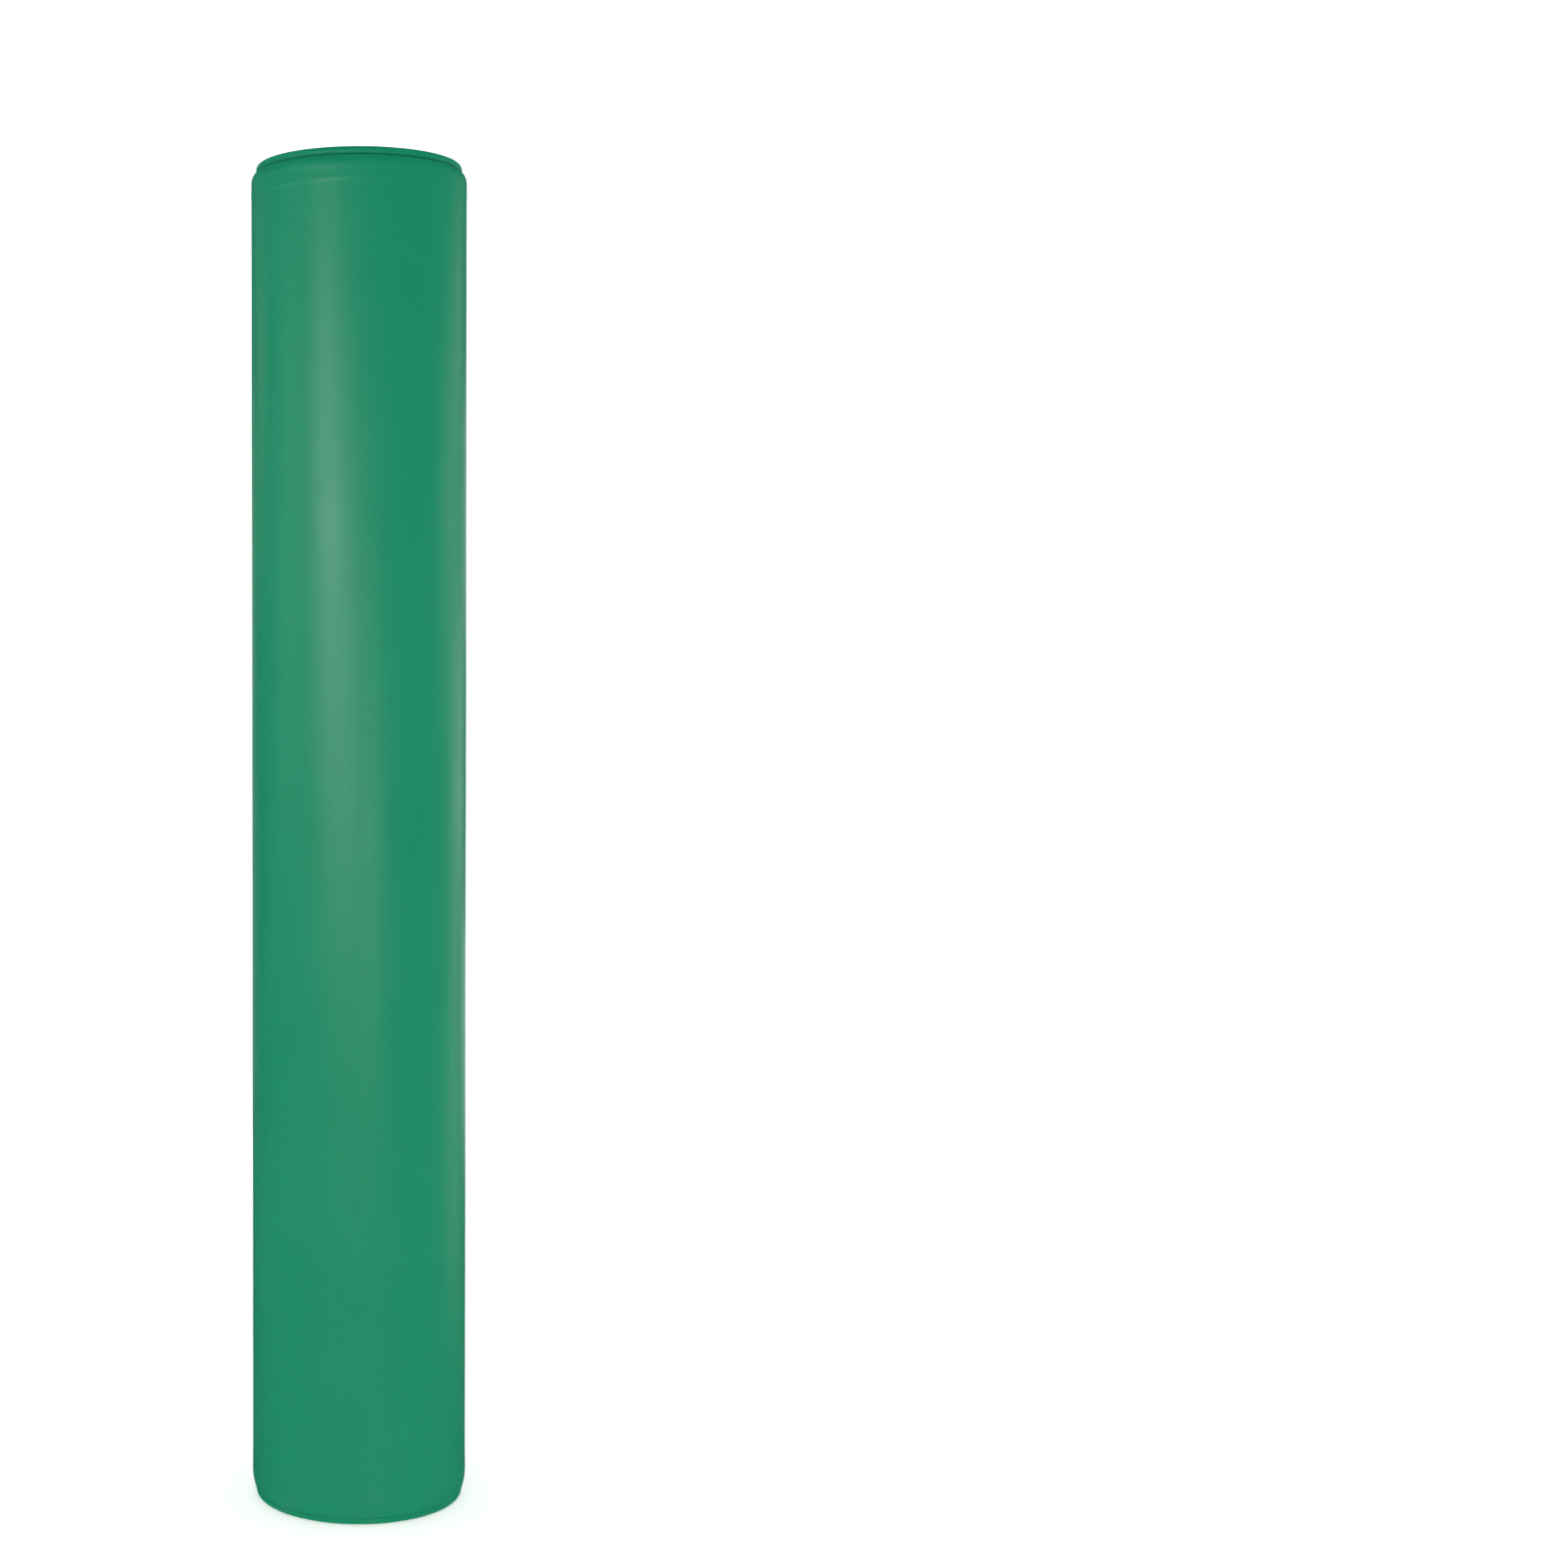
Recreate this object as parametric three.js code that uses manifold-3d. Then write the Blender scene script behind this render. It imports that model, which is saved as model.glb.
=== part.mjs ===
import * as THREE from 'three';
import { mergeVertices } from 'three/addons/utils/BufferGeometryUtils.js';
import Module from 'manifold-3d';

const wasm = await Module();
wasm.setup();

// Basketball pole pad: two half-round foam cushions in coated cloth, closed round a pole.
// Millimetres, +Z up, origin at the middle of the base.
// The plain front with the cloth hinge faces -Y, and the hook and loop closure faces +Y.

// The pad as a whole
const padHeight = 1800;
const padDiameter = 290;
const poleBore = 100;

// Coated cloth, and the fit between neighbouring pieces
const cloth = 1.2;
const clearance = 0.3;

// Welts: thick round beads sewn into both end seams, set in from the pad's side
const weltSize = 12.2;
const weltInset = 6.3;
const shoulderHeight = 14;

// Foam in each half, from the base up
const foamPlaces = ['lower', 'middle', 'upper'];

// End panels: the top one is crowned by the foam, and the base lies flat
const topPanelDrop = 6;
const topPanelCrown = 4;

// Closure flap down the back, hinged along its sewn root on the right half
const flapRootOffset = 20;
const rootStripWidth = 25;
const flapReach = 70;
const flapEndInset = 32;
const flapCorner = 15;
const flapRamp = 10;

// Hook and loop tapes between the flap and the left half
const tapeWidth = 50;
const tapeThickness = 1.2;
const tapeSplitOffset = 12;
const tapeEndInset = 8;

// How far a cutting block runs past what it cuts, and the steps that round forms are drawn in
const overrun = 20;
const stripStep = 10;
const ringSteps = 48;
const shoulderSteps = 4;
const crownSteps = 4;
const weltSides = 12;
const cordSides = 8;
const cornerSteps = 4;

const coverRadius = padDiameter / 2;
const boreRadius = poleBore / 2;
const coverFit = cloth + clearance;
const weltRadius = coverRadius - weltInset - weltSize / 2;
const shoulderWidth = coverRadius - weltRadius;
const collarDepth = weltSize + clearance;
const flangeRadius = weltRadius - weltSize / 2 - clearance;

const vinyl = { color: '#1f8862', roughness: 0.46, metalness: 0 };
const lining = { color: '#1d7f5c', roughness: 0.62, metalness: 0 };
const foam = { color: '#e9e6da', roughness: 0.95, metalness: 0 };
const cotton = { color: '#e3dfd2', roughness: 0.9, metalness: 0 };
const tape = { color: '#1c1e1d', roughness: 0.9, metalness: 0 };

function toSolid(geometry) {
  geometry.deleteAttribute('normal');
  geometry.deleteAttribute('uv');
  const merged = mergeVertices(geometry);
  return new wasm.Manifold(new wasm.Mesh({
    numProp: 3,
    vertProperties: merged.attributes.position.array,
    triVerts: merged.index.array,
  }));
}

function toMesh(name, solid, look) {
  const { vertProperties, triVerts } = solid.getMesh();
  const geometry = new THREE.BufferGeometry();
  geometry.setAttribute('position', new THREE.BufferAttribute(vertProperties, 3));
  geometry.setIndex(new THREE.BufferAttribute(triVerts, 1));
  geometry.computeVertexNormals();
  const mesh = new THREE.Mesh(geometry, new THREE.MeshStandardMaterial(look));
  mesh.name = name;
  return mesh;
}

// A ring about +Z from the (radius, height) points of its section, whichever way they run
function ring(section) {
  const points = THREE.ShapeUtils.isClockWise(section) ? [...section].reverse() : section;
  const geometry = new THREE.LatheGeometry([...points, points[0]], ringSteps);
  geometry.rotateX(Math.PI / 2);
  return toSolid(geometry);
}

function block(from, to) {
  const size = new THREE.Vector3().subVectors(to, from);
  const geometry = new THREE.BoxGeometry(size.x, size.y, size.z);
  geometry.translate(from.x + size.x / 2, from.y + size.y / 2, from.z + size.z / 2);
  return toSolid(geometry);
}

// The two ends of the pad: depth is measured from the end into the pad
const topEnd = { heightAt: (depth) => padHeight - depth, drop: topPanelDrop, crown: topPanelCrown };
const baseEnd = { heightAt: (depth) => depth, drop: 0, crown: 0 };

// From beside the end panel out under the bead and round the shoulder to the pad's side.
// Inset 0 is the cover's outer face.
function shoulderPoints(end, inset, startRadius) {
  const points = [new THREE.Vector2(startRadius, end.heightAt(collarDepth + inset))];
  for (let step = 0; step <= shoulderSteps; step += 1) {
    const turn = (step / shoulderSteps) * (Math.PI / 2);
    const radius = weltRadius + (shoulderWidth - inset) * Math.sin(turn);
    const rise = (shoulderHeight - inset) * Math.cos(turn);
    points.push(new THREE.Vector2(radius, end.heightAt(collarDepth + shoulderHeight - rise)));
  }
  return points;
}

// Across the end panel from the bore outwards, crowned by the foam and inset from its outer face
function crownPoints(end, inset, fromRadius, toRadius) {
  const width = flangeRadius - boreRadius;
  const points = [];
  for (let step = 0; step <= crownSteps; step += 1) {
    const even = boreRadius + (step / crownSteps) * width;
    const radius = THREE.MathUtils.clamp(even, fromRadius, toRadius);
    const rise = end.crown * Math.sin((Math.PI * (radius - boreRadius)) / width);
    points.push(new THREE.Vector2(radius, end.heightAt(end.drop + inset - rise)));
  }
  return points;
}

// Outer cover: one layer of cloth that turns in over both shoulders to the welts
function coverSection() {
  const collarRadius = flangeRadius + clearance;
  const face = (inset) => [
    ...shoulderPoints(baseEnd, inset, collarRadius),
    ...shoulderPoints(topEnd, inset, collarRadius).reverse(),
  ];
  return [...face(0), ...face(cloth).reverse()];
}

// Foam: fills the cover, rebated at both ends for the welts
function cushionSection() {
  const fromRadius = boreRadius + coverFit;
  const toRadius = flangeRadius - coverFit;
  return [
    ...crownPoints(baseEnd, coverFit, fromRadius, toRadius),
    ...shoulderPoints(baseEnd, coverFit, toRadius),
    ...shoulderPoints(topEnd, coverFit, toRadius).reverse(),
    ...crownPoints(topEnd, coverFit, fromRadius, toRadius).reverse(),
  ];
}

// End panel with its seam allowance turned in beside the bead
function endPanelSection(end) {
  const seamDepth = end.heightAt(collarDepth + cloth);
  return [
    ...crownPoints(end, cloth, boreRadius, flangeRadius - cloth),
    new THREE.Vector2(flangeRadius - cloth, seamDepth),
    new THREE.Vector2(flangeRadius, seamDepth),
    ...crownPoints(end, 0, boreRadius, flangeRadius).reverse(),
  ];
}

function linerSection() {
  const bottom = baseEnd.heightAt(baseEnd.drop + coverFit);
  const top = topEnd.heightAt(topEnd.drop + coverFit);
  return [
    new THREE.Vector2(boreRadius, bottom),
    new THREE.Vector2(boreRadius + cloth, bottom),
    new THREE.Vector2(boreRadius + cloth, top),
    new THREE.Vector2(boreRadius, top),
  ];
}

// Round section in the bead's place, with a flat facet towards the end that it stands on
function beadSection(end, size, sides) {
  const cornerRadius = size / 2 / Math.cos(Math.PI / sides);
  const height = end.heightAt(weltSize / 2);
  return Array.from({ length: sides }, (unused, index) => {
    const turn = ((index * 2 + 1) * Math.PI) / sides;
    const radius = weltRadius + cornerRadius * Math.cos(turn);
    return new THREE.Vector2(radius, height + cornerRadius * Math.sin(turn));
  });
}

// Part of a full ring on one side of the split, between two distances off it, two places from
// front to back and two heights
function sliceOf(solid, side, offSplit, along, heights) {
  const across = offSplit.map((distance) => side * distance).sort((a, b) => a - b);
  const low = new THREE.Vector3(across[0], along[0], heights[0]);
  const high = new THREE.Vector3(across[1], along[1], heights[1]);
  return solid.intersect(block(low, high));
}

const reach = coverRadius + overrun;
const frontPart = [-reach, 0];
const backPart = [0, reach];
const fullDepth = [-reach, reach];
const fullHeight = [-overrun, padHeight + overrun];

function halfOf(solid, side, fromSplit) {
  return sliceOf(solid, side, [fromSplit, reach], fullDepth, fullHeight);
}

// The foam is three blocks, stacked with a hair's gap between them
function foamBlock(side, fromSplit, index) {
  const share = padHeight / foamPlaces.length;
  const low = index === 0 ? fullHeight[0] : index * share + clearance / 2;
  const top = index === foamPlaces.length - 1;
  const high = top ? fullHeight[1] : (index + 1) * share - clearance / 2;
  return sliceOf(cushionRing, side, [fromSplit, reach], fullDepth, [low, high]);
}

const cushionRing = ring(cushionSection());
const endRings = [
  { place: 'top', end: topEnd },
  { place: 'bottom', end: baseEnd },
].map(({ place, end }) => {
  const hollow = ring(beadSection(end, weltSize - 2 * cloth, cordSides));
  return {
    place,
    panel: ring(endPanelSection(end)),
    welt: ring(beadSection(end, weltSize, weltSides)).subtract(hollow),
    cord: ring(beadSection(end, weltSize - 2 * coverFit, cordSides)),
  };
});

// One half of the pad, cut from full rings. Side is -1 for the left half and 1 for the right.
function padHalf(name, side) {
  const half = new THREE.Group();
  const edge = clearance / 2;
  const faced = edge + cloth;
  const facing = (part) => sliceOf(cushionRing, side, [edge, faced], part, fullHeight);
  half.add(
    toMesh(`${name}_outer_cover`, halfOf(ring(coverSection()), side, edge), vinyl),
    toMesh(`${name}_bore_liner`, halfOf(ring(linerSection()), side, edge), lining),
    toMesh(`${name}_hinge_facing`, facing(frontPart), lining),
    toMesh(`${name}_closure_facing`, facing(backPart), lining),
  );
  foamPlaces.forEach((place, index) => {
    half.add(toMesh(`${name}_foam_${place}`, foamBlock(side, faced + clearance, index), foam));
  });
  for (const { place, panel, welt, cord } of endRings) {
    half.add(
      toMesh(`${name}_${place}_panel`, halfOf(panel, side, edge), vinyl),
      toMesh(`${name}_${place}_welt`, halfOf(welt, side, edge), vinyl),
      toMesh(`${name}_${place}_welt_cord`, halfOf(cord, side, edge), cotton),
    );
  }
  return half;
}

// Point on the pad's back: along is the arc from the split, positive on the left half
function backPoint(radius, along) {
  const angle = along / coverRadius;
  return new THREE.Vector2(-radius * Math.sin(angle), radius * Math.cos(angle));
}

// Even stations of [arc from the split, radius of the strip's inner face]
function evenStations(from, to, radius) {
  const count = Math.max(1, Math.ceil((to - from) / stripStep));
  return Array.from({ length: count + 1 }, (unused, index) => {
    return [from + ((to - from) * index) / count, radius];
  });
}

// Curved upright strip on the pad's back, between two insets from the pad's ends
function backStrip(stations, thickness, endInset) {
  const inner = stations.map(([along, radius]) => backPoint(radius, along));
  const outer = stations.map(([along, radius]) => backPoint(radius + thickness, along));
  const depth = padHeight - 2 * endInset;
  const shape = new THREE.Shape([...inner, ...outer.reverse()]);
  const geometry = new THREE.ExtrudeGeometry(shape, { depth, bevelEnabled: false });
  geometry.translate(0, 0, endInset);
  return toSolid(geometry);
}

// Outline of the flap seen from the back, with round corners at its free edge
function flapOutline() {
  const low = flapEndInset;
  const high = padHeight - flapEndInset;
  const arcX = flapCorner - flapReach;
  const outline = new THREE.Shape();
  outline.moveTo(flapRootOffset + overrun, low);
  outline.lineTo(flapRootOffset + overrun, high);
  outline.lineTo(arcX, high);
  outline.absarc(arcX, high - flapCorner, flapCorner, Math.PI / 2, Math.PI, false);
  outline.absarc(arcX, low + flapCorner, flapCorner, Math.PI, Math.PI * 1.5, false);
  const depth = coverRadius + overrun;
  const options = { depth, bevelEnabled: false, curveSegments: cornerSteps };
  const geometry = new THREE.ExtrudeGeometry(outline, options);
  geometry.rotateX(Math.PI / 2);
  geometry.translate(0, depth, 0);
  return toSolid(geometry);
}

const onCover = coverRadius + clearance;
const onLoop = onCover + tapeThickness + clearance;
const onHook = onLoop + tapeThickness + clearance;
const tapeEdge = tapeSplitOffset + tapeWidth;
const tapeInset = flapEndInset + tapeEndInset;
const hingeGap = clearance / 2;

function loopTape() {
  return backStrip(evenStations(tapeSplitOffset, tapeEdge, onCover), tapeThickness, tapeInset);
}

function hookTape() {
  return backStrip(evenStations(tapeSplitOffset, tapeEdge, onLoop), tapeThickness, tapeInset);
}

function flapRootStrip() {
  const from = -flapRootOffset - rootStripWidth;
  return backStrip(evenStations(from, -flapRootOffset - hingeGap, onCover), cloth, flapEndInset);
}

// The flap lies on the cover from its root, then rises over the two tapes
function closureFlap() {
  const stations = [
    ...evenStations(hingeGap - flapRootOffset, tapeSplitOffset - flapRamp, onCover),
    ...evenStations(tapeSplitOffset, flapReach + flapCorner, onHook),
  ];
  return backStrip(stations, cloth, 0).intersect(flapOutline());
}

const leftHalf = padHalf('left', -1);
leftHalf.add(toMesh('loop_tape', loopTape(), tape));

const rightHalf = padHalf('right', 1);
rightHalf.add(toMesh('flap_root_strip', flapRootStrip(), vinyl));

const flapGroup = new THREE.Group();
flapGroup.add(toMesh('closure_flap', closureFlap(), vinyl));
flapGroup.add(toMesh('hook_tape', hookTape(), tape));
rightHalf.add(flapGroup);

const polePad = new THREE.Group();
polePad.add(leftHalf, rightHalf);

export default polePad;
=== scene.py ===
import math

import bmesh
import bpy
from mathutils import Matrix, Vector, noise


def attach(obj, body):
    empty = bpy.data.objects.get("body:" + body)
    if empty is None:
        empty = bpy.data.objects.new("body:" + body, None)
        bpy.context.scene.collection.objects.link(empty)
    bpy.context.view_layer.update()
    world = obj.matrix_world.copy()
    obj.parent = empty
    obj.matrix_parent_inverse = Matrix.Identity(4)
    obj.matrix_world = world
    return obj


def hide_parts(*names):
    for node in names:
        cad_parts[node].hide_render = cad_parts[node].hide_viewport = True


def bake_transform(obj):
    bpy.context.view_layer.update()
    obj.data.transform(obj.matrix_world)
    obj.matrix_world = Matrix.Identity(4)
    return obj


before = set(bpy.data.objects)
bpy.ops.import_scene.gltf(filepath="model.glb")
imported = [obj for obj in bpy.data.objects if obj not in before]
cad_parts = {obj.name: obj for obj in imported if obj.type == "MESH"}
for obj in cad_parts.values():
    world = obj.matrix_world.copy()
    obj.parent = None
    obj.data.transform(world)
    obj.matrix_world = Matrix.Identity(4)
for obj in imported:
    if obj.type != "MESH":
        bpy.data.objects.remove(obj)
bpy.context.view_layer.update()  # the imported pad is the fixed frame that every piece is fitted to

print("frame loaded:", len(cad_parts), "nodes")

# Sizes in metres. +Z is up the bore, -Y the plain front with the cloth hinge, +Y the closure.
pad = {
    "height": 1.8,
    "radius": 0.145,
    "bore": 0.05,
    "cloth": 0.0012,
    "gap": 0.00015,  # from the split's middle to each half
    "seam": {"top": 0.1326, "bottom": 0.1341},  # middle line of the welts
    "panel": {"top": 0.1262, "bottom": 0.1277},  # outline of the end panels
    "collar": 0.0125,
}
halves = {"left": -1, "right": 1}
ends = ("top", "bottom")
within = {"weld": 0.000005, "point": 1e-6, "line": 1e-5}  # how near counts as the same place


# Small helpers

def clearPick():
    bpy.ops.object.select_all(action="DESELECT")


def named(name):
    piece = bpy.context.active_object
    piece.name = name
    piece.data.name = name
    bpy.ops.object.transform_apply(location=True, rotation=True, scale=True)
    return piece


def choose(piece):
    clearPick()
    piece.select_set(True)
    bpy.context.view_layer.objects.active = piece


def editPiece(piece):
    choose(piece)
    bpy.ops.object.mode_set(mode="EDIT")
    bpy.ops.mesh.select_mode(type="VERT")


def leaveEdit():
    bpy.ops.object.mode_set(mode="OBJECT")


def pickAll():
    bpy.ops.mesh.select_all(action="SELECT")


def cutAcross(place, direction, **options):
    pickAll()
    bpy.ops.mesh.bisect(plane_co=place, plane_no=direction, **options)


def spinRound(steps, angle):
    bpy.ops.mesh.spin(steps=steps, angle=angle, center=(0, 0, 0), axis=(0, 0, 1))


def pick(piece, kind, test):
    # Selects the vertices, edges or faces whose middle passes the test
    bpy.ops.mesh.select_mode(type=kind)
    bpy.ops.mesh.select_all(action="DESELECT")
    mesh = bmesh.from_edit_mesh(piece.data)
    if kind == "VERT":
        found = [v for v in mesh.verts if test(v.co, v)]
    elif kind == "EDGE":
        found = [e for e in mesh.edges if test((e.verts[0].co + e.verts[1].co) / 2, e)]
    else:
        found = [f for f in mesh.faces if test(f.calc_center_median(), f)]
    for element in found:
        element.select_set(True)
    mesh.select_flush_mode()
    bmesh.update_edit_mesh(piece.data)


def extrudeUp(height):
    bpy.ops.mesh.extrude_edges_move(TRANSFORM_OT_translate={"value": (0, 0, height)})


def extrudeBeside(piece, x):
    # The picked edges are drawn out to an upright plane beside the split
    extrudeUp(0)
    mesh = bmesh.from_edit_mesh(piece.data)
    for vertex in mesh.verts:
        if vertex.select:
            vertex.co.x = x
    bmesh.update_edit_mesh(piece.data)


def drawLine(name, points, closed=False):
    # A single vertex, extruded from point to point
    clearPick()
    bpy.ops.mesh.primitive_plane_add(size=0.001, location=points[0])
    piece = named(name)
    editPiece(piece)
    pickAll()
    bpy.ops.mesh.merge(type="CENTER")
    for start, end in zip(points, points[1:]):
        step = Vector(end) - Vector(start)
        bpy.ops.mesh.extrude_vertices_move(TRANSFORM_OT_translate={"value": step})
    pickAll()
    if closed:
        bpy.ops.mesh.edge_face_add()
    return piece


def sculpt(piece, move):
    # Every vertex goes where move says, as with a soft brush
    for vertex in piece.data.vertices:
        vertex.co = move(vertex.co.copy())
    piece.data.update()


def faceOut(piece, outward):
    # The cloth's face side is the one that looks along outward
    editPiece(piece)
    pickAll()
    bpy.ops.mesh.remove_doubles(threshold=within["weld"])
    bpy.ops.mesh.normals_make_consistent(inside=False)
    mesh = bmesh.from_edit_mesh(piece.data)
    agree = sum(f.normal.dot(outward(f.calc_center_median())) * f.calc_area() for f in mesh.faces)
    if agree < 0:
        pickAll()
        bpy.ops.mesh.flip_normals()
    leaveEdit()


def addModifier(piece, kind, **values):
    choose(piece)
    modifier = piece.modifiers.new(kind.title(), kind)
    for key, value in values.items():
        setattr(modifier, key, value)
    bpy.ops.object.modifier_apply(modifier=modifier.name)


def thicken(piece, thickness):
    addModifier(piece, "SOLIDIFY", thickness=thickness, offset=-1.0, use_even_offset=False)


def smooth(piece, degrees=40):
    choose(piece)
    bpy.ops.object.shade_smooth_by_angle(angle=math.radians(degrees))


def dress(piece, material):
    piece.data.materials.clear()
    piece.data.materials.append(material)


def makeCloth(piece, outward, material, thickness=pad["cloth"], degrees=40):
    # The face side looks along outward, and the thickness goes in behind it
    faceOut(piece, outward)
    thicken(piece, thickness)
    smooth(piece, degrees)
    dress(piece, material)


def ease(share):
    share = min(1.0, max(0.0, share))
    return share * share * (3 - 2 * share)


def rollDepth(distance, radius):
    # How far a rounded edge has dropped at a distance in from its outline
    if distance >= radius:
        return 0.0
    left = radius - max(0.0, distance)
    return radius - math.sqrt(max(0.0, radius * radius - left * left))


def fromEnd(end, depth):
    return pad["height"] - depth if end == "top" else depth


def onPad(along, height, rise):
    # A place on the pad's back: along is the arc from the split, positive on the left half
    angle = along / pad["radius"]
    radius = pad["radius"] + rise
    return Vector((-radius * math.sin(angle), radius * math.cos(angle), height))


def radial(co):
    return Vector((co.x, co.y, 0)).normalized()


# Node groups and materials

def newGroup(name, inputs, outputs):
    # The inputs are named with their defaults, and every output is a single number
    group = bpy.data.node_groups.new(name, "ShaderNodeTree")
    for label, default in inputs.items():
        kind = "NodeSocketVector" if isinstance(default, tuple) else "NodeSocketFloat"
        group.interface.new_socket(label, in_out="INPUT", socket_type=kind).default_value = default
    for label in outputs:
        group.interface.new_socket(label, in_out="OUTPUT", socket_type="NodeSocketFloat")
    start = group.nodes.new("NodeGroupInput")
    end = group.nodes.new("NodeGroupOutput")
    return group, start, end


def plug(tree, socket, value):
    # An input takes another node's output, or a value of its own
    if isinstance(value, bpy.types.NodeSocket):
        tree.links.new(value, socket)
    else:
        socket.default_value = value


def feed(tree, made, **inputs):
    for label, value in inputs.items():
        plug(tree, made.inputs[label.replace("_", " ")], value)


def node(tree, kind, settings=(), **inputs):
    made = tree.nodes.new(kind)
    for key, value in dict(settings).items():
        setattr(made, key, value)
    feed(tree, made, **inputs)
    return made


def mathNode(tree, operation, *values):
    made = node(tree, "ShaderNodeMath", {"operation": operation})
    for socket, value in zip(made.inputs, values):
        plug(tree, socket, value)
    return made.outputs[0]


def times(tree, first, second):
    return mathNode(tree, "MULTIPLY", first, second)


def weigh(tree, first, share, second, otherShare):
    return mathNode(tree, "ADD", times(tree, first, share), times(tree, second, otherShare))


def mapRange(tree, value, fromLow, fromHigh, toLow=0.0, toHigh=1.0):
    made = node(tree, "ShaderNodeMapRange", {"interpolation_type": "SMOOTHSTEP"}, Value=value,
                From_Min=fromLow, From_Max=fromHigh, To_Min=toLow, To_Max=toHigh)
    return made.outputs["Result"]


def mixColour(tree, factor, first, second):
    made = node(tree, "ShaderNodeMix", {"data_type": "RGBA"})
    colours = [s for s in made.inputs if s.type == "RGBA"]
    for socket, value in zip((made.inputs[0], *colours), (factor, first, second)):
        plug(tree, socket, (*value, 1) if isinstance(value, tuple) else value)
    return next(s for s in made.outputs if s.type == "RGBA")


# Fine grain of coated cloth, with the slow unevenness of the coat
def makeGrainGroup():
    group, start, end = newGroup("coatedGrain", {"Place": (0, 0, 0), "Grain Size": 0.0011, "Slow Size": 0.18},
                                 ("Height", "Slow", "Speckle"))
    fineScale, slowScale = (mathNode(group, "DIVIDE", 1.0, start.outputs[key])
                            for key in ("Grain Size", "Slow Size"))
    cells = node(group, "ShaderNodeTexVoronoi", {"feature": "SMOOTH_F1"}, Smoothness=0.6)
    fine = node(group, "ShaderNodeTexNoise", Detail=3.0, Roughness=0.6)
    slow = node(group, "ShaderNodeTexNoise", Detail=2.0, Roughness=0.5)
    for texture, scale in ((cells, fineScale), (fine, fineScale), (slow, slowScale)):
        feed(group, texture, Vector=start.outputs["Place"], Scale=scale)
    height = weigh(group, cells.outputs["Distance"], 0.6, fine.outputs["Fac"], 0.4)
    feed(group, end, Height=height, Slow=slow.outputs["Fac"], Speckle=fine.outputs["Fac"])
    return group


# Plain weave of crossing yarns, from two flat coordinates in metres
def makeWeaveGroup():
    group, start, end = newGroup("plainWeave", {"Across": 0.0, "Along": 0.0, "Pitch": 0.0013}, ("Height",))
    turn = mathNode(group, "DIVIDE", 2 * math.pi, start.outputs["Pitch"])
    across, along = (mathNode(group, "SINE", times(group, start.outputs[key], turn))
                     for key in ("Across", "Along"))
    feed(group, end, Height=mapRange(group, times(group, across, along), -1.0, 1.0))
    return group


# Dust and rubbing near the pad's foot
def makeRubGroup():
    group, start, end = newGroup("endRub", {"Place": (0, 0, 0), "Reach": 0.09}, ("Mask",))
    split = node(group, "ShaderNodeSeparateXYZ", Vector=start.outputs["Place"])
    spots = node(group, "ShaderNodeTexNoise", Vector=start.outputs["Place"],
                 Scale=26.0, Detail=5.0, Roughness=0.65)
    risen = mathNode(group, "DIVIDE", split.outputs["Z"], start.outputs["Reach"])
    foot = mathNode(group, "MAXIMUM", mathNode(group, "SUBTRACT", 1.0, risen), 0.0)
    patches = mapRange(group, spots.outputs["Fac"], 0.48, 0.72)
    feed(group, end, Mask=times(group, foot, patches))
    return group


grainGroup = makeGrainGroup()
weaveGroup = makeWeaveGroup()
rubGroup = makeRubGroup()


def placeGroup(tree, group, **inputs):
    return node(tree, "ShaderNodeGroup", {"node_tree": group}, **inputs)


def startMaterial(name):
    material = bpy.data.materials.new(name)
    material.use_nodes = True
    tree = material.node_tree
    shader = next(n for n in tree.nodes if n.type == "BSDF_PRINCIPLED")
    place = tree.nodes.new("ShaderNodeTexCoord")
    return material, tree, shader, place


def bumpTo(tree, shader, height, distance):
    bump = node(tree, "ShaderNodeBump", Height=height, Strength=1.0, Distance=distance)
    feed(tree, shader, Normal=bump.outputs["Normal"])


coat = {
    "grainSize": 0.0011,
    "slowSize": 0.22,
    "scrimPitch": 0.0026,
    "speckle": 0.35,
    "rubReach": 0.07,
    "dust": 0.22,
    "rubRoughness": 0.12,
    "spread": 0.03,  # how far the roughness drifts either way
    "bump": 0.0001,
    "drift": (0.3, 0.7),  # share of the slow noise over which the coat changes
}


def flatPlace(tree, place, flat):
    # Metres across and along a piece's own flat cut, from its UV map
    split = node(tree, "ShaderNodeSeparateXYZ", Vector=place.outputs["UV"])
    return [times(tree, split.outputs[axis], size) for axis, size in zip("XY", flat)]


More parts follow.
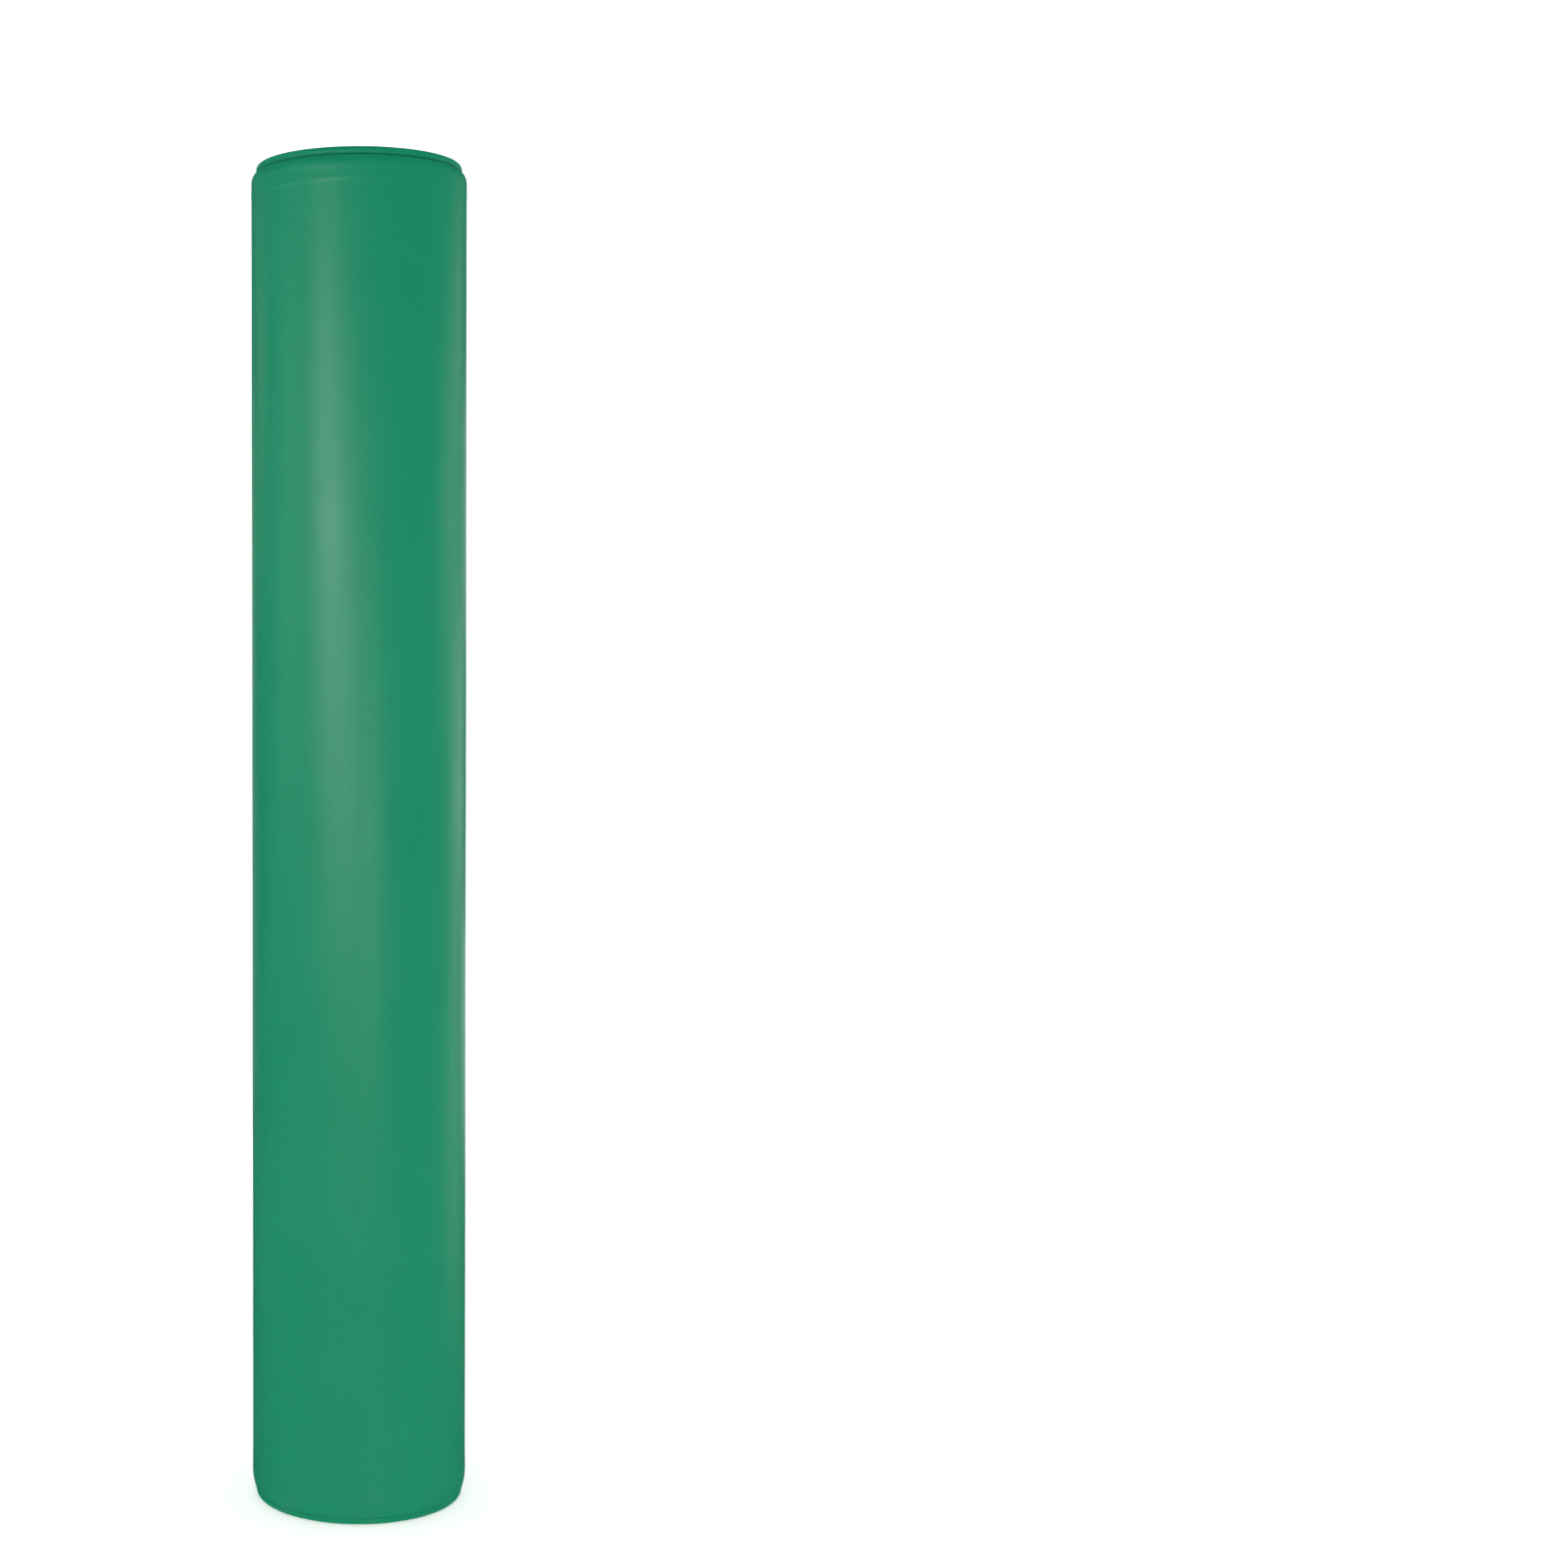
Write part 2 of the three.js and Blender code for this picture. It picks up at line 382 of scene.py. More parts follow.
def makeCoated(name, colour, deep, pale, roughness, weave, grain, specular=0.42, flat=None):
    # Coated cloth: colour drifts a little, the scrim under the coat shows faintly
    material, tree, shader, place = startMaterial(name)
    points = place.outputs["Object"]
    surface = placeGroup(tree, grainGroup, Place=points, Grain_Size=coat["grainSize"],
                         Slow_Size=coat["slowSize"])
    if flat:
        across, along = flatPlace(tree, place, flat)
    else:  # round the pad
        split = node(tree, "ShaderNodeSeparateXYZ", Vector=points)
        turn = mathNode(tree, "ARCTAN2", split.outputs["X"], split.outputs["Y"])
        across, along = times(tree, turn, pad["radius"]), split.outputs["Z"]
    scrim = placeGroup(tree, weaveGroup, Pitch=coat["scrimPitch"], Across=across, Along=along)
    drift = mapRange(tree, surface.outputs["Slow"], *coat["drift"])
    base = mixColour(tree, drift, deep, colour)
    speck = mapRange(tree, surface.outputs["Speckle"], 0.55, 0.85, 0.0, coat["speckle"])
    base = mixColour(tree, speck, base, pale)
    rub = placeGroup(tree, rubGroup, Place=points, Reach=coat["rubReach"])
    dust = times(tree, rub.outputs["Mask"], coat["dust"])
    base = mixColour(tree, dust, base, tuple(c * 0.6 + 0.06 for c in pale))
    worn = times(tree, rub.outputs["Mask"], coat["rubRoughness"])
    even = mapRange(tree, surface.outputs["Slow"], *coat["drift"], roughness - coat["spread"],
                    roughness + coat["spread"])
    feed(tree, shader, Base_Color=base, Roughness=mathNode(tree, "ADD", even, worn),
         Specular_IOR_Level=specular)
    bumpTo(tree, shader, weigh(tree, surface.outputs["Height"], grain, scrim.outputs["Height"], weave),
           coat["bump"])
    return material


def makeSimple(name, colour, pale, roughness, size, depth, sheen=0.0):
    # Foam, yarn and cord: a mottled matte body with pores or fibres
    material, tree, shader, place = startMaterial(name)
    pores = placeGroup(tree, grainGroup, Place=place.outputs["Object"], Grain_Size=size,
                       Slow_Size=size * 30)
    mottle = mapRange(tree, pores.outputs["Height"], 0.2, 0.75)
    rough = mapRange(tree, pores.outputs["Slow"], *coat["drift"], roughness - 0.05, roughness + 0.05)
    feed(tree, shader, Base_Color=mixColour(tree, mottle, colour, pale), Roughness=rough,
         Specular_IOR_Level=0.3, Sheen_Weight=sheen)
    bumpTo(tree, shader, pores.outputs["Height"], depth)
    return material


def makeTape(name, colour, pale, flat, pitch, depth, fuzz):
    # Hook or loop tape: rows of hooks, or more of a felted pile as fuzz grows
    material, tree, shader, place = startMaterial(name)
    across, along = flatPlace(tree, place, flat)
    rows = placeGroup(tree, weaveGroup, Pitch=pitch, Across=across, Along=along)
    pile = placeGroup(tree, grainGroup, Place=place.outputs["Object"], Grain_Size=pitch * 0.7,
                      Slow_Size=0.03)
    mixed = weigh(tree, rows.outputs["Height"], 1 - fuzz, pile.outputs["Height"], fuzz)
    feed(tree, shader, Base_Color=mixColour(tree, mapRange(tree, mixed, 0.15, 0.85), colour, pale),
         Roughness=mapRange(tree, mixed, 0.0, 1.0, 0.95, 0.75), Specular_IOR_Level=0.35, Sheen_Weight=fuzz)
    bumpTo(tree, shader, mixed, depth)
    return material


flapFlat = (0.1184, 1.736)
tapeFlat = (0.05, 1.72)
green = {"colour": (0.0062, 0.236, 0.119), "deep": (0.0056, 0.229, 0.1145), "pale": (0.0088, 0.25, 0.129),
         "weave": 0.25, "grain": 0.5}
coverCloth = makeCoated("coverCloth", roughness=0.40, **green)
flapCloth = makeCoated("flapCloth", roughness=0.40, flat=flapFlat, **green)
weltCloth = makeCoated("weltCloth", roughness=0.5, specular=0.2, **green)
liningCloth = makeCoated("liningCloth", (0.0088, 0.204, 0.103), (0.0078, 0.19, 0.095),
                         (0.013, 0.225, 0.116), 0.6, 1.1, 0.35, specular=0.4)
foamBody = makeSimple("foamBody", (0.62, 0.58, 0.47), (0.81, 0.78, 0.69), 0.93, 0.0013, 0.0005)
cottonCord = makeSimple("cottonCord", (0.60, 0.56, 0.46), (0.78, 0.75, 0.66), 0.9, 0.0007, 0.0003, 0.2)
threadYarn = makeSimple("threadYarn", (0.006, 0.12, 0.06), (0.012, 0.2, 0.105), 0.6, 0.0003, 0.0001, 0.1)
hookTapeYarn = makeTape("hookTapeYarn", (0.006, 0.007, 0.0065), (0.03, 0.032, 0.031), tapeFlat,
                        0.0018, 0.0006, 0.15)
loopTapeYarn = makeTape("loopTapeYarn", (0.008, 0.009, 0.0085), (0.035, 0.038, 0.036), tapeFlat,
                        0.0022, 0.0005, 0.8)
print("materials made")

# Slack: a flat cut of cloth, held at its seams and swollen a little, lends its folds to the pieces

slack = {
    "frames": 20, "quickFrames": 2, "quality": 6,
    "pressure": 3.0, "bend": 2.0, "pull": 25.0, "weight": 0.4,
    "uneven": 0.0003, "unevenScale": 60,  # what the folds start from
    "cover": (0.911, 0.060, 0.0045, 0.012),  # width, height, mesh step and growth of each cut
    "panel": (0.2765, 0.0762, 0.0038, 0.012),
    "lining": (0.337, 1.790, 0.0085, 0.008),
    "folds": (0.094, 0.243),  # where the lining goes round the bore's edges
}


def slackSheet(name, folds=()):
    wide, tall, step, growth = slack[name]
    columns, rows = round(wide / step), round(tall / step)
    clearPick()
    bpy.ops.mesh.primitive_grid_add(x_subdivisions=columns, y_subdivisions=rows, size=1)
    sheet = bpy.context.active_object
    sheet.scale = (wide, tall, 1)
    named(f"{name}_cut")
    held = sheet.vertex_groups.new(name="held")
    for vertex in sheet.data.vertices:
        x, y = vertex.co.x + wide / 2, vertex.co.y + tall / 2
        edge = min([x, wide - x, y, tall - y] + [abs(x - fold) for fold in folds])
        if edge < step / 2:
            held.add([vertex.index], 1.0, "REPLACE")
        else:
            spot = Vector((x * slack["unevenScale"], y * slack["unevenScale"], 1))
            vertex.co.z = slack["uneven"] * noise.noise(spot)
    cloth = sheet.modifiers.new("Cloth", "CLOTH")
    cloth.collision_settings.use_collision = False
    cloth.point_cache.frame_end = slack["frames"]
    settings = cloth.settings
    settings.quality = slack["quality"]
    settings.mass = slack["weight"]
    settings.tension_stiffness = settings.compression_stiffness = slack["pull"]
    settings.bending_stiffness = slack["bend"]
    settings.shrink_min = -growth
    settings.use_pressure = True
    settings.uniform_pressure_force = slack["pressure"]
    settings.vertex_group_mass = held.name
    settings.effector_weights.gravity = 0
    for moment in range(1, slack["frames"] + 1):
        bpy.context.scene.frame_set(moment)
    bpy.ops.object.modifier_apply(modifier=cloth.name)
    heights = [v.co.z for v in sheet.data.vertices]
    bpy.data.objects.remove(sheet)
    bpy.context.scene.frame_set(1)

    def rise(x, y):
        # Height of the swollen cut at a place on it, from its lower left corner
        x = min(max(x / wide, 0), 0.9999) * columns
        y = min(max(y / tall, 0), 0.9999) * rows
        column, row = int(x), int(y)
        x, y = x - column, y - row
        first = row * (columns + 1) + column
        below = heights[first] * (1 - x) + heights[first + 1] * x
        above = heights[first + columns + 1] * (1 - x) + heights[first + columns + 2] * x
        return below * (1 - y) + above * y

    print("slack of the", name, "cut: up to", round(max(heights) * 1000, 1), "mm")
    return rise


coverSlack = slackSheet("cover")
panelSlack = slackSheet("panel")
liningSlack = slackSheet("lining", slack["folds"])

# Outer cover: one cloth round both halves, its fold at the front and its edges at the back split

cover = {
    "turnStep": 2.0,  # degrees between upright lines
    # radius and depth below the end, from the collar under the welt out to the side
    "shoulder": {
        "top": ((0.1265, 0.0125), (0.1295, 0.01255), (0.1326, 0.0124), (0.1344, 0.0122),
                (0.1356, 0.01158), (0.1366, 0.01105), (0.1375, 0.0110), (0.1386, 0.0113),
                (0.1398, 0.0120), (0.1411, 0.0132), (0.1423, 0.0148), (0.1433, 0.0167),
                (0.1441, 0.0188), (0.1446, 0.0210), (0.1449, 0.0235), (0.1450, 0.0264)),
        "bottom": ((0.1280, 0.0125), (0.1308, 0.01255), (0.1341, 0.0124), (0.1360, 0.0121),
                   (0.1378, 0.0111), (0.1390, 0.0098), (0.1395, 0.0090), (0.1401, 0.0092),
                   (0.1409, 0.0103), (0.1418, 0.0126), (0.1425, 0.0152), (0.1433, 0.0187),
                   (0.1440, 0.0226), (0.1446, 0.0268), (0.1449, 0.0312), (0.1450, 0.0360)),
    },
    "normalStep": 0.0006,  # reach over which the slope of the shoulder is taken
    "endRing": 0.0025,
    "endRings": 22,
    "sideRings": 108,
    "edgeRoll": 0.005,
    "endRoll": 0.0016,  # the same roll where the cloth turns in to the welts
    "rollStart": 0.013,  # depth at which the roll starts to grow from one to the other
    "rollGrow": 0.02,
    "frontCalm": (0.002, 0.3),  # reach beside the front fold, and share of the unevenness there
    "backColumn": (0.0052, 0.0007),  # reach of the first edge lines off the split, and their lean
    "backPlaces": (0.0034, 0.0022, 0.0013, 0.0007, 0.00035, 0.00015),
    "frontSlit": 0.0000015,
    "backSlit": 0.00001,
    # depth below the top, height (a ridge is positive) and width of the creases in the cloth
    "creases": ((0.0225, 0.00026, 0.0026), (0.0300, -0.00022, 0.0030),
                (0.0425, 0.00034, 0.0026), (0.0485, -0.00020, 0.0032)),
    "creaseReach": 0.08,
    "creaseDrift": 0.0030,
    "creaseDriftScale": (14, 900),  # round the pad, and from crease to crease
    "creasePatchScale": (22, 400),
    "creasePatch": (0.75, 0.5),  # mean strength, and how far the noise moves it
    "creaseSide": (0.85, 1.1),  # how the strength falls from left to right
    "creaseLeast": 0.25,  # share of a crease that is left at the right, and at the back
    "creaseBack": 0.6,
    "wave": 0.00028,
    "waveScale": (9, 4),  # across and up
    "fineWave": (2.7, 0.4),  # how much finer and lower the second wave is
    "gather": {"top": 0.06, "bottom": 0.08},  # share of the slack that shows under each welt
    "gatherStart": 0.002,
    "gatherReach": 0.055,
    "gatherFade": 0.03,
    "gatherSink": 0.0012,
}


def shoulderLine(end):
    line = list(cover["shoulder"][end])
    for _ in range(cover["endRings"]):
        line.append((pad["radius"], line[-1][1] + cover["endRing"]))
    return line


def shoulderDepth(radius, end):
    # Depth of the cover's outer face at a radius, from the pad's end
    line = cover["shoulder"][end]
    for (inner, low), (outer, high) in zip(line, line[1:]):
        if radius <= outer:
            return low + (high - low) * (radius - inner) / (outer - inner)
    return line[-1][1]


def coverNormal(co):
    # Outward direction of the cover's own shape at a point on it
    end = "top" if co.z > pad["height"] / 2 else "bottom"
    sign = 1 if end == "top" else -1
    out = radial(co)
    radius = math.hypot(co.x, co.y)
    if abs(co.z - fromEnd(end, 0)) >= cover["shoulder"][end][-1][1]:
        return out
    step = cover["normalStep"]
    slope = (shoulderDepth(radius + step, end) - shoulderDepth(radius - step, end)) / (2 * step)
    return (out * slope + Vector((0, 0, sign))).normalized()


def creaseShift(co):
    # Soft creases round the pad under its top, and slow unevenness of the foam below the cloth
    across, upward = cover["waveScale"]
    finer, lower = cover["fineWave"]
    spot = Vector((co.x * across, co.y * across, co.z * upward))
    shift = noise.noise(spot) * cover["wave"] + noise.noise(spot * finer) * cover["wave"] * lower
    depth = pad["height"] - co.z
    end = "top" if depth < co.z else "bottom"
    fromSeam = min(depth, co.z) - pad["collar"]
    if -cover["gatherStart"] < fromSeam < cover["gatherReach"]:
        # gathers where the cloth is drawn in to the welt's seam
        turn = math.atan2(co.x, co.y) + math.pi
        along = turn * pad["radius"] if end == "top" else (2 * math.pi - turn) * pad["radius"]
        gather = coverSlack(along, max(cover["gatherStart"], fromSeam)) - cover["gatherSink"]
        fade = ease((cover["gatherReach"] - fromSeam) / cover["gatherFade"])
        shift += gather * cover["gather"][end] * fade
    if depth < cover["creaseReach"]:
        side = co.x / pad["radius"]
        least = cover["creaseLeast"]
        start, slope = cover["creaseSide"]
        strong = least + (1 - least) * ease(start - slope * side) if co.y < 0 else cover["creaseBack"]
        mean, swing = cover["creasePatch"]
        wide, apart = cover["creaseDriftScale"]
        fine, other = cover["creasePatchScale"]
        for place, height, width in cover["creases"]:
            drift = noise.noise(Vector((co.x * wide, co.y * wide, place * apart))) * cover["creaseDrift"]
            close = math.exp(-((depth - place - drift) / width) ** 2)
            patch = mean + swing * noise.noise(Vector((co.x * fine + 7, co.y * fine, place * other)))
            shift += close * height * strong * patch
    return shift


def makeCover():
    low = shoulderLine("bottom")
    high = [(r, pad["height"] - d) for r, d in reversed(shoulderLine("top"))]
    between = []
    for ring in range(1, cover["sideRings"]):
        share = ring / cover["sideRings"]
        between.append((pad["radius"], low[-1][1] + (high[0][1] - low[-1][1]) * share))
    start = math.radians(cover["turnStep"])
    points = [(r * math.sin(start), r * math.cos(start), z) for r, z in low + between + high]
    piece = drawLine("outer_cover", points)
    steps = round(360 / cover["turnStep"]) - 2
    spinRound(steps, math.radians(360 - 2 * cover["turnStep"]))
    # the two back edges run on to the split in narrowing steps
    reach, lean = cover["backColumn"]
    for side in (1, -1):
        pick(piece, "EDGE", lambda co, e: e.is_boundary and co.y > 0 and 0 < co.x * side < reach
             and abs(e.verts[0].co.z - e.verts[1].co.z)
             + abs(e.verts[0].co.length - e.verts[1].co.length) > within["point"]
             and abs(e.verts[0].co.x - e.verts[1].co.x) < lean)
        for place in (*cover["backPlaces"], cover["backSlit"]):
            extrudeBeside(piece, side * place)

    def shoulderLeft(z):
        # Height that is left from a point to where the shoulder ends and the side starts
        return max(cover["shoulder"]["bottom"][-1][1] - z,
                   z - pad["height"] + cover["shoulder"]["top"][-1][1])

    # both shoulders are slit at the front fold, where the welts part
    pick(piece, "EDGE", lambda co, e: co.y < 0 and abs(co.x) < within["line"]
         and abs(e.verts[0].co.x - e.verts[1].co.x) < within["line"] and shoulderLeft(co.z) > 0)
    bpy.ops.mesh.edge_split()
    mesh = bmesh.from_edit_mesh(piece.data)
    for vertex in mesh.verts:
        if vertex.co.y < 0 and abs(vertex.co.x) < within["line"] and vertex.is_boundary:
            if shoulderLeft(vertex.co.z) > within["line"]:
                middle = sum(f.calc_center_median().x for f in vertex.link_faces)
                vertex.co.x = math.copysign(cover["frontSlit"], middle)
    bmesh.update_edit_mesh(piece.data)
    leaveEdit()

    def settle(co):
        out = coverNormal(co)
        shift = creaseShift(co)
        if co.y > 0 and abs(co.x) < cover["edgeRoll"] + 0.0001:
            depth = min(co.z, pad["height"] - co.z)
            grown = ease((depth - cover["rollStart"]) / cover["rollGrow"])
            roll = cover["endRoll"] + (cover["edgeRoll"] - cover["endRoll"]) * grown
            shift -= rollDepth(abs(co.x) - cover["backSlit"], roll)
        elif abs(co.x) < cover["frontCalm"][0]:
            shift *= cover["frontCalm"][1]
        return co + out * shift

    sculpt(piece, settle)
    mesh = piece.data
    flip = sum(f.normal.dot(radial(f.center)) for f in mesh.polygons) < 0
    if flip:
        mesh.flip_normals()
    faceSide = [vertex.co.copy() for vertex in mesh.vertices]
    thicken(piece, pad["cloth"])
    # the back of the cloth stays on its own half, as its face side does
    for vertex, face in zip(list(mesh.vertices)[len(faceSide):], faceSide):
        if abs(face.x) > cover["frontSlit"] / 2:
            slit = cover["backSlit" if face.y > 0 else "frontSlit"]
            own = math.copysign(1, face.x)
            vertex.co.x = own * max(own * vertex.co.x, slit)
    smooth(piece)
    return piece


outerCover = makeCover()
dress(outerCover, coverCloth)
print("outer cover:", len(outerCover.data.polygons), "faces")

# Welts: a sleeve of cloth round a cotton cord, round both ends of each half

welt = {
    "size": 0.0061, "sides": 24, "steps": 96, "cut": 0.00002,
    "cord": 0.0046, "cordSides": 16, "cordCut": 0.0008,
    "ripple": 0.00012, "swell": 0.00010, "sink": 0.00012,
    "rippleScale": 19, "swellScale": 5,
}


def ringOfCircle(name, radius, sides, end, side, cut, filled):
    # A round section swept half a turn and cut off square at the split
    clearPick()
    height = fromEnd(end, welt["size"])
    bpy.ops.mesh.primitive_circle_add(vertices=sides, radius=radius, location=(0, pad["seam"][end], height),
                                      rotation=(math.pi / 2, 0, math.pi / 2))
    piece = named(name)
    editPiece(piece)
    pickAll()
    spinRound(welt["steps"], side * math.pi)
    cutAcross((side * cut, 0, 0), (side, 0, 0), clear_inner=True, use_fill=filled)
    leaveEdit()
    return piece


def makeWelt(half, side, end):
    height = fromEnd(end, welt["size"])
    sleeve = ringOfCircle(f"{half}_{end}_bead", welt["size"], welt["sides"], end, side, welt["cut"], False)

    def outward(co):
        return co - radial(co) * pad["seam"][end] - Vector((0, 0, height))

    def settle(co):
        # small puckers where the sleeve is drawn round the curve
        out = outward(co).normalized()
        turn = math.atan2(co.x, co.y)
        inner = 0.5 - 0.5 * out.dot(radial(co))
        ripple = noise.noise(Vector((turn * welt["rippleScale"], out.z * 1.5, 3.1 + side)))
        swell = noise.noise(Vector((turn * welt["swellScale"], 1.7, 0)))
        return co + out * (welt["ripple"] * ripple * (0.35 + inner) + welt["swell"] * swell - welt["sink"])

    sculpt(sleeve, settle)
    makeCloth(sleeve, outward, weltCloth)
    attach(sleeve, f"{half}_half")
    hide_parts(f"{half}_{end}_welt")
    cord = ringOfCircle(f"{half}_{end}_bead_cord", welt["cord"], welt["cordSides"], end, side,
                        welt["cordCut"], True)
    faceOut(cord, outward)
    smooth(cord)
    dress(cord, cottonCord)
    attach(cord, f"{half}_half")
    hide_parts(f"{half}_{end}_welt_cord")


for half, side in halves.items():
    for end in ends:
        makeWelt(half, side, end)
print("welts made")

# End panels: half discs of cloth, crowned on top and flat below, their edges rolled into the seams

panel = {
    "steps": 60,
    "crown": 0.0022,
    "swell": 0.75,
    "dent": 0.0009,
    "drop": {"top": 0.006, "bottom": 0.0},
    "roll": 0.005,
    "beadRoll": 0.003,
    "beadDrop": 1.6,  # how much deeper than round that edge drops
    "stripEdge": 0.006,
    "stripPlaces": (0.0044, 0.003, 0.0019, 0.0011, 0.0005, 0.00015),
    "tuck": 0.0018,
    "fillet": 0.006,
    "lower": 0.0008,
    "crownRise": 0.02,
    "dentRise": 0.006,
    # distances from the bore's edge and from the outline at which the rings lie
    "fromBore": (0.0, 0.0004, 0.001, 0.0018, 0.003, 0.0045, 0.0065),
    "fromOutline": (0.009, 0.006, 0.004, 0.0025, 0.0014, 0.0006, 0.0),
    "betweenRings": 11,
}


def panelLine(end):
    # Radii across the half disc, close together at both seams
    inner, outer, count = panel["fromBore"], panel["fromOutline"], panel["betweenRings"]
    start, stop = pad["bore"] + inner[-1], pad["panel"][end] - outer[0]
    between = [start + (stop - start) * k / count for k in range(1, count)]
    return [pad["bore"] + d for d in inner] + between + [pad["panel"][end] - d for d in outer]


def filletCentre():
    reach = pad["bore"] + panel["fillet"]
    x = pad["gap"] + panel["fillet"]
    return x, math.sqrt(reach * reach - x * x)


def makePanel(half, side, end):
    sign = 1 if end == "top" else -1
    edge = panel["stripEdge"]
    # drawn along the line that lies stripEdge off the split, then spun round to the other side
    first = math.asin(edge / pad["bore"])
    points = []
    for radius in panelLine(end):
        turn = math.asin(edge / radius)
        points.append((side * radius * math.sin(turn), radius * math.cos(turn), 0))
    piece = drawLine(f"{half}_{end}_end", points)
    spinRound(panel["steps"], side * (math.pi - 2 * first))
    leaveEdit()

    def straighten(co):
        # the spun fan is fitted between the two straight lines beside the split
        radius = math.hypot(co.x, co.y)
        turn = math.atan2(co.x * side, co.y)
        startTurn = math.asin(edge / radius)
        begun = (turn - startTurn) / max(1e-9, math.pi - 2 * first)
        begun = min(1.0, max(0.0, begun))
        return Vector((side * radius * math.sin(startTurn + begun * (math.pi - 2 * startTurn)),
                       radius * math.cos(startTurn + begun * (math.pi - 2 * startTurn)), 0))

    sculpt(piece, straighten)
    editPiece(piece)
    for front in (1, -1):
        for place in panel["stripPlaces"]:
            pick(piece, "EDGE", lambda co, e: e.is_boundary and co.y * front > 0
                 and abs(e.verts[0].co.x - e.verts[1].co.x) < within["point"])
            extrudeBeside(piece, side * place)
    leaveEdit()
    centreX, centreY = filletCentre()

    def settle(co):
        x, y = abs(co.x), co.y
        radius = math.hypot(x, y)
        # the corner at the bore is rounded in plan
        if x < centreX and abs(y) < centreY:
            away = Vector((x - centreX, abs(y) - centreY))
            if away.length > panel["fillet"]:
                away = away.normalized() * panel["fillet"]
                x, y = centreX + away.x, math.copysign(centreY + away.y, y)
            inset = panel["fillet"] - away.length
        else:
            inset = min(x - pad["gap"], radius - pad["bore"])
        beadSide = pad["panel"][end] - radius
        wide = pad["panel"][end] - pad["bore"]
        # the slack cut is bent round the bore, and lies the other way on the other half
        turn = math.atan2(x, y) / math.pi
        swell = panelSlack((turn if side > 0 else 1 - turn) * slack["panel"][0],
                           (radius - pad["bore"]) / wide * slack["panel"][1])
        if end == "top":
            crown = panel["crown"] * math.sin(math.pi * min(1, max(0, (radius - pad["bore"]) / wide)))
            swell = (crown + swell * panel["swell"]) * ease(inset / panel["crownRise"]) - panel["lower"]
        else:  # pressed flat by what it stands on, apart from shallow folds
            rise = ease(min(beadSide, inset) / panel["dentRise"])
            swell = -min(panel["dent"], abs(swell) * panel["swell"]) * rise
        height = fromEnd(end, panel["drop"][end]) + sign * swell
        height -= sign * rollDepth(inset, panel["roll"])
        height -= sign * rollDepth(beadSide, panel["beadRoll"]) * panel["beadDrop"]
        return Vector((side * x, y, height))

    sculpt(piece, settle)
    # the seam allowance turns in behind the panel
    editPiece(piece)
    pick(piece, "EDGE", lambda co, e: e.is_boundary)
    extrudeUp(-sign * panel["tuck"])
    leaveEdit()
    makeCloth(piece, lambda co: Vector((0, 0, sign)), coverCloth, degrees=60)
    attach(piece, f"{half}_half")
    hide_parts(f"{half}_{end}_panel")
    return piece


endPanels = {(half, end): makePanel(half, side, end) for half, side in halves.items() for end in ends}
print("end panels made")

# Lining: from the front fold over the hinge facing, round the bore and out to the closure seam

lining = {
    "roll": 0.005,
    "hingeRadius": 0.1436,
    "hingeReach": 0.0085,
    "closureEdge": 0.1397,
    "edgeStart": 0.003,
    # the turn at the closure seam, from the split and from that edge
    "edgeTurn": ((0.0002, -0.0018), (0.0007, -0.0008), (0.0014, 0.0), (0.0016, 0.0012)),
    "leastStep": 0.0002,
    "endDepth": {"top": 0.0112, "bottom": 0.0052},
    "rings": 210,
    "tuck": 0.0013,
    "fold": 0.0012,
    "foldScale": 0.0022,
    "boreReach": 0.0515,  # radius up to which the lining lies round the bore
    "seat": (0.058, 0.137),  # radii between which the facings may fold
    "seatFade": 0.01,
    "tuckReach": 0.0028,
    "filletReach": 0.0565,  # radius up to which an end dips in round the bore's edge
    "facingStart": 0.057,
    "shoulderStart": 0.118,
    "shoulderRise": 0.008,
    "shoulderFade": 0.04,
    "underShoulder": (0.0016, 0.0022),  # how far in and how far below it the lining follows it
    "endRings": (0.0012, 0.0024, 0.004, 0.007, 0.012, 0.02, 0.03),
}


def arc(centre, radius, fromTurn, toTurn, steps):
    points = []
    for step in range(steps + 1):
        turn = math.radians(fromTurn + (toTurn - fromTurn) * step / steps)
        points.append((centre[0] + radius * math.cos(turn), centre[1] + radius * math.sin(turn)))
    return points


def straight(start, end, steps):
    return [(start[0] + (end[0] - start[0]) * k / steps, start[1] + (end[1] - start[1]) * k / steps)
            for k in range(steps + 1)]


def liningPath():
    gap, roll = pad["gap"], lining["roll"]
    centreX, centreY = filletCentre()
    tilt = math.degrees(math.asin(centreX / (pad["bore"] + panel["fillet"])))
    hinge = lining["hingeRadius"]
    reach = lining["hingeReach"]
    path = straight((reach, -math.sqrt(hinge ** 2 - reach ** 2)), (gap + roll, -hinge + 0.0001), 2)
    path += arc((gap + roll, -hinge + roll), roll, -90, -180, 6)
    path += straight((gap, -hinge + roll), (gap, -centreY), 14)
    path += arc((centreX, -centreY), panel["fillet"], 180, 90 + tilt, 6)
    path += arc((0, 0), pad["bore"], -90 + tilt, 90 - tilt, 26)
    path += arc((centreX, centreY), panel["fillet"], -90 - tilt, -180, 6)
    edge = lining["closureEdge"]
    path += straight((gap, centreY), (gap, edge - lining["edgeStart"]), 14)
    path += [(gap + x, edge + y) for x, y in lining["edgeTurn"]]
    clean = [path[0]]
    for point in path[1:]:
        if math.dist(point, clean[-1]) > lining["leastStep"]:
            clean.append(point)
    return clean


